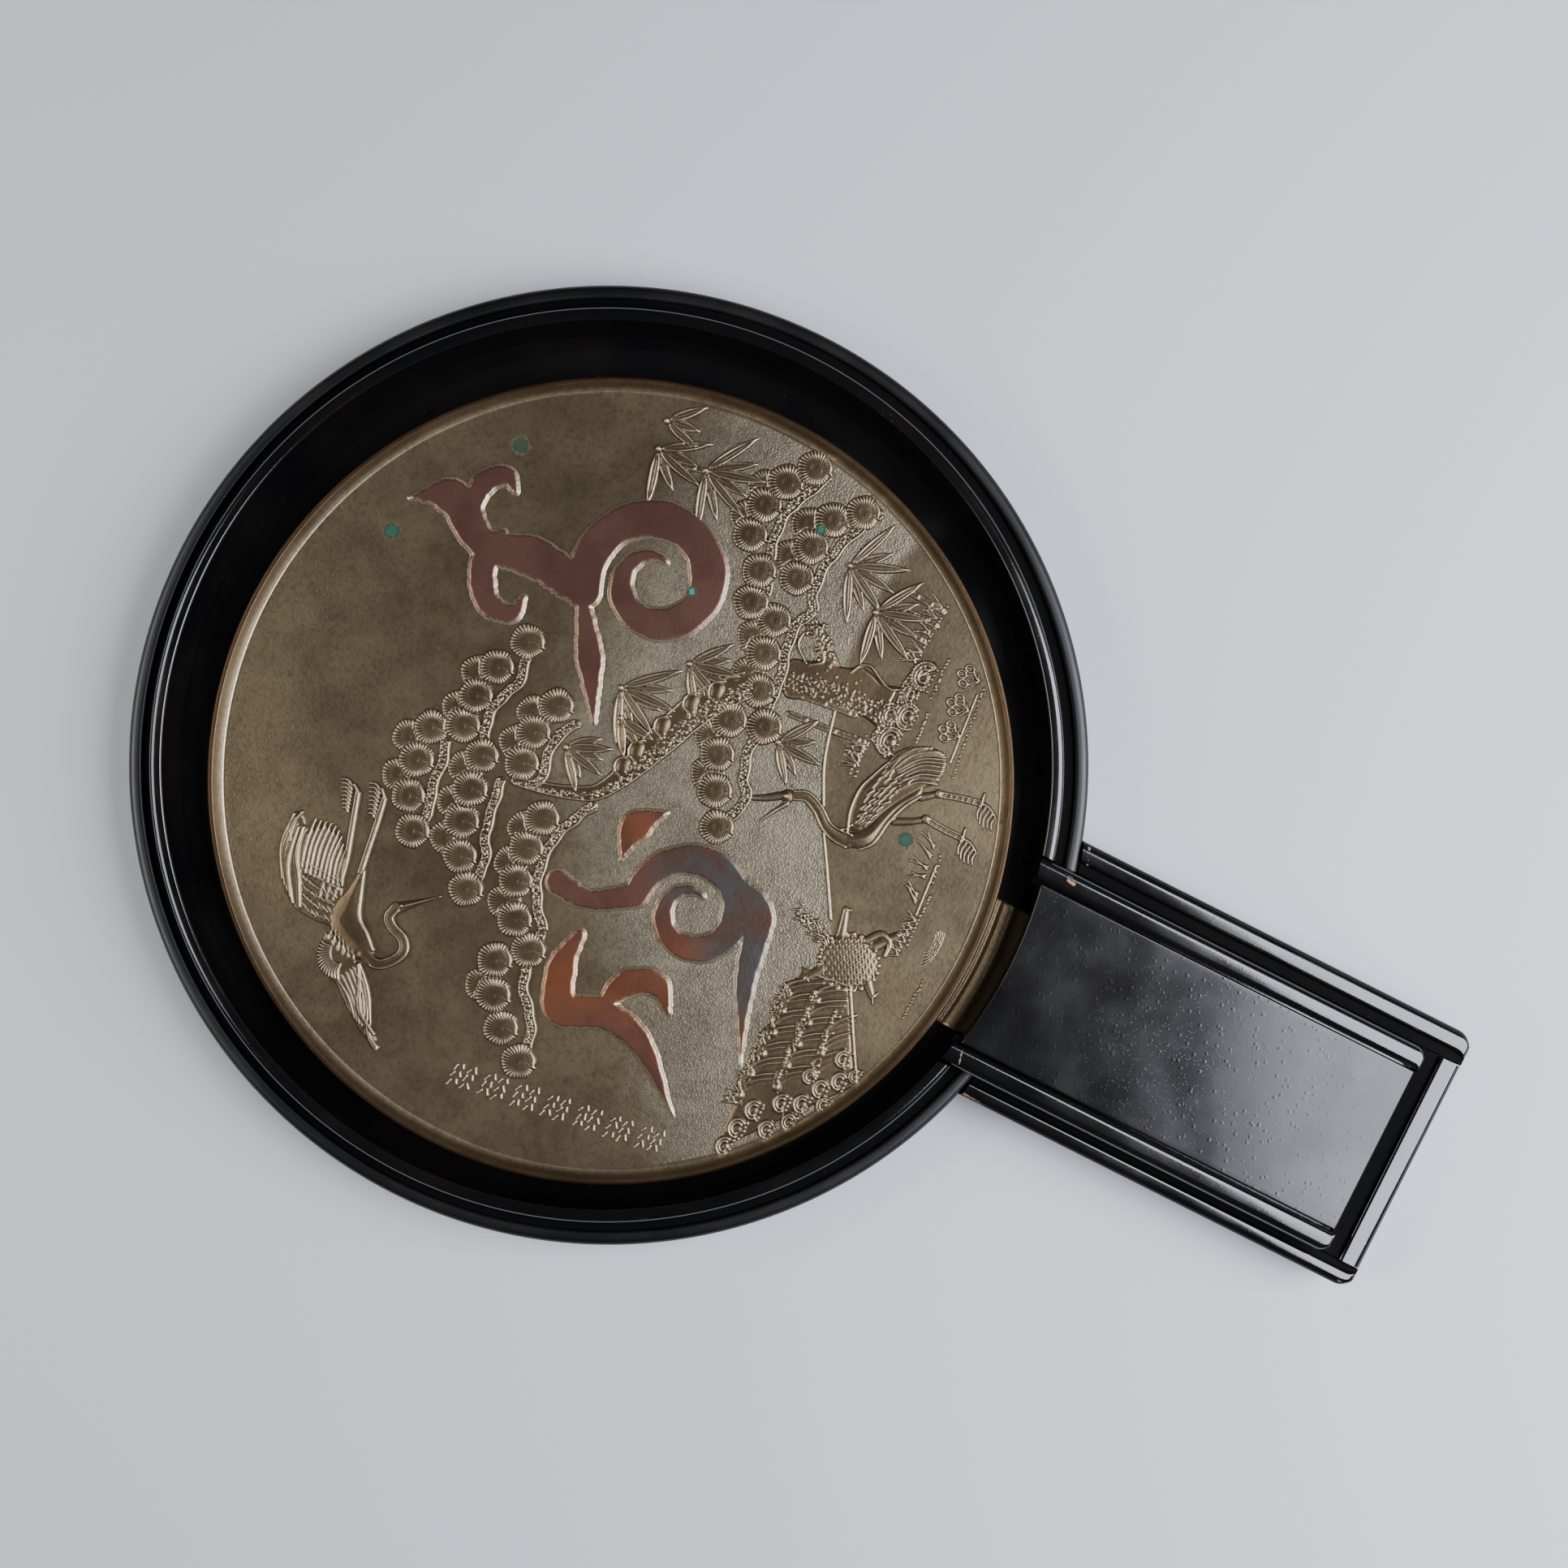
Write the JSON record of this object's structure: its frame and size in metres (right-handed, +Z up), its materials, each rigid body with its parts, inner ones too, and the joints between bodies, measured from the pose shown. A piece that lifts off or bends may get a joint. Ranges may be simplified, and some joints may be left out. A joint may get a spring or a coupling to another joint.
{
  "type": "antique bronze hand mirror in a lacquered wooden case",
  "caption": "Cast bronze hand mirror with pine, bamboo, crane and tortoise relief, lying face down in its open black-lacquered case, with a loose board over the handle.",
  "frame": {"origin": "centre of the round part of the case, on its underside", "axes": "+Z up out of the open case, -Y along the handle, +Y towards the top of the mirror's picture"},
  "size_m": [0.2812, 0.4038, 0.0225],
  "materials": {
    "bronze": "aged brown bronze, satin, with small green spots",
    "black_lacquer": "glossy black lacquer over wood, worn through to bare wood at a few edges"
  },
  "bodies": {
    "root": {"base_board": "black_lacquer", "round_outer_wall": "black_lacquer", "round_raised_lining": "black_lacquer", "handle_left_rail": "black_lacquer", "handle_right_rail": "black_lacquer", "handle_left_wall": "black_lacquer", "handle_right_wall": "black_lacquer", "handle_end_wall": "black_lacquer", "handle_cover_board": "black_lacquer", "bronze_mirror": "bronze"}
  },
  "joints": []
}
